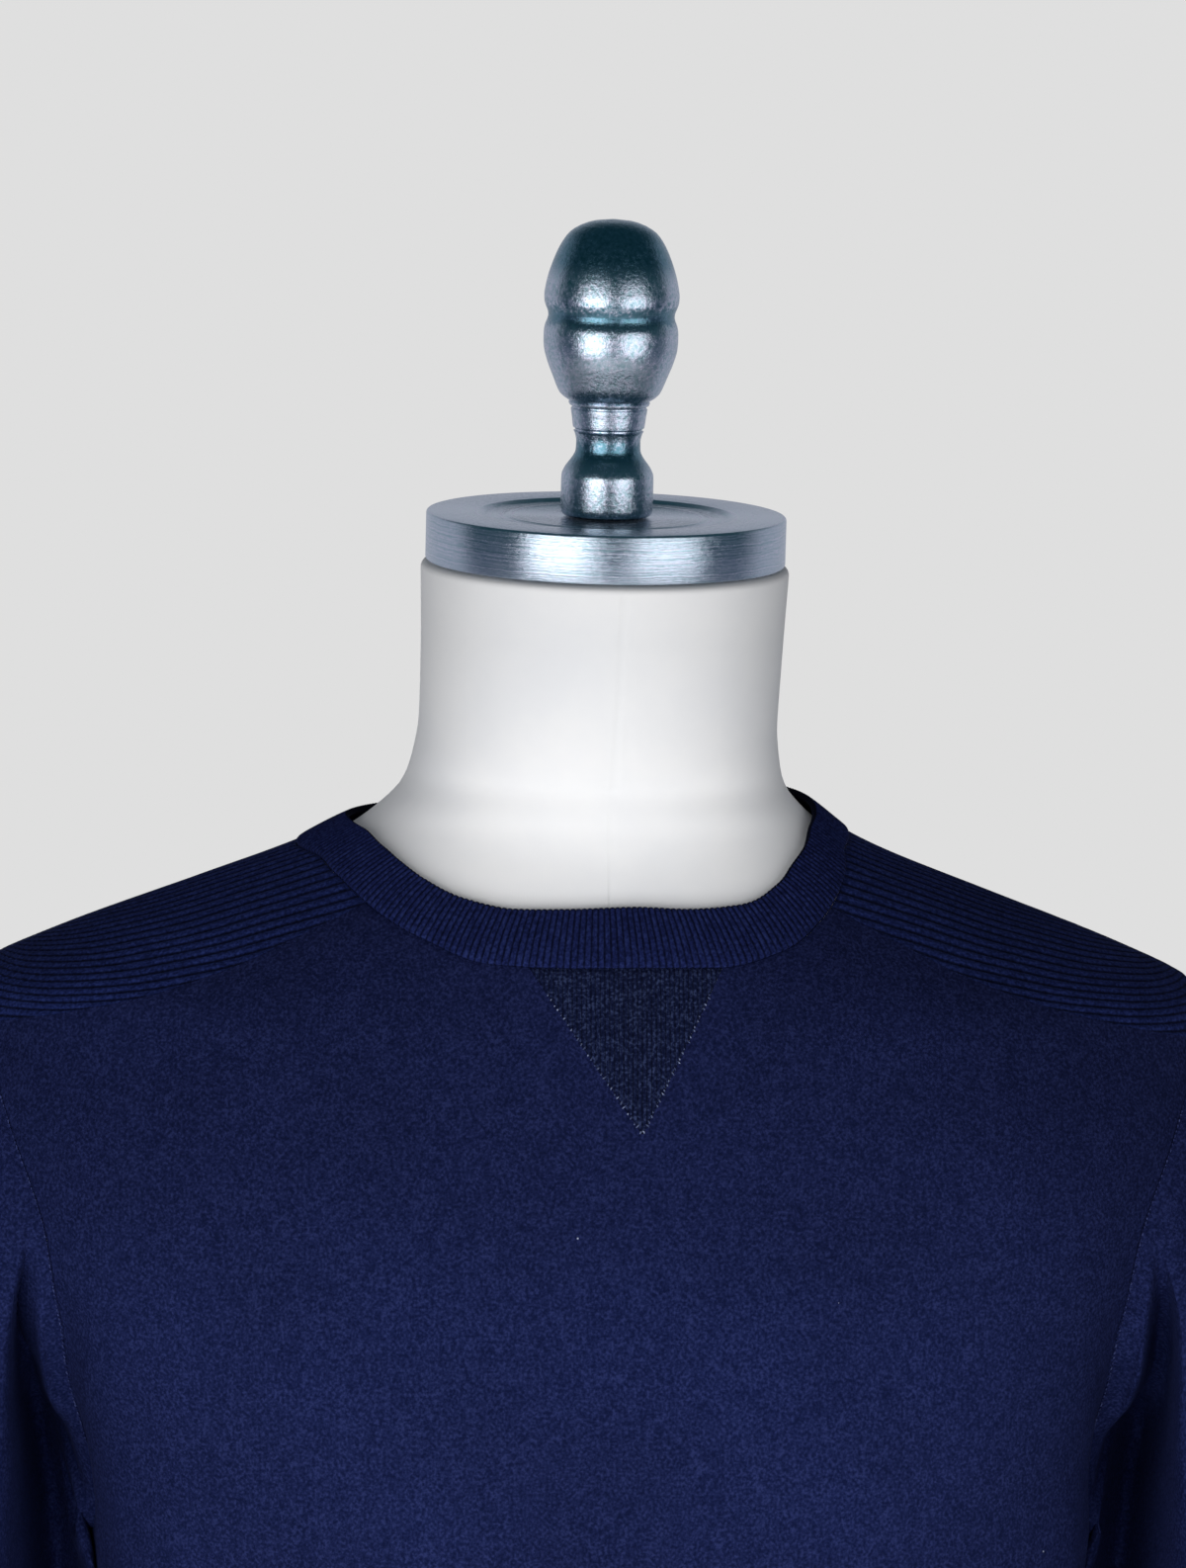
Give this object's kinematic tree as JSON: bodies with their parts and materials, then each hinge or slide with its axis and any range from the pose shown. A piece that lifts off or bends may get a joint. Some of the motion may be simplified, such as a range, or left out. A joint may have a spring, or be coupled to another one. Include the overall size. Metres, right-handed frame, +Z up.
{
  "type": "crew-neck sweater on a limbless dress form",
  "caption": "Fine-knit crew-neck sweater with ridged shoulder panels and a V of rib stitch under the neckband, worn by a limbless tailor's dress form that stands on a pole and a round base.",
  "frame": {"origin": "centre of the base's underside, on the floor", "axes": "+Z up the pole and the neck, -Y the way the form faces, +X towards the wearer's left"},
  "size_m": [0.502, 0.34, 1.0756],
  "materials": {
    "jersey": "fine-gauge knitted jersey, matt with a soft nap",
    "ridged_knit": "knit with raised horizontal ridges",
    "rib": "fine one-by-one rib knit",
    "insert_rib": "coarser rib stitch with a fuzzy edge",
    "canvas": "off-white woven canvas stretched over the form",
    "turned_metal": "turned and brushed",
    "painted_steel": "satin powder coat"
  },
  "bodies": {
    "root": {"front": "jersey", "back": "jersey", "neck_insert": "insert_rib", "shoulder_panel_left": "ridged_knit", "shoulder_panel_right": "ridged_knit", "neckband": "rib", "hem_rib_front": "rib", "hem_rib_back": "rib", "sleeve_left": "jersey", "sleeve_right": "jersey", "cuff_left": "rib", "cuff_right": "rib", "form_body": "canvas", "neck_cap": "turned_metal", "finial": "turned_metal", "pole": "painted_steel", "base": "painted_steel"}
  },
  "joints": []
}
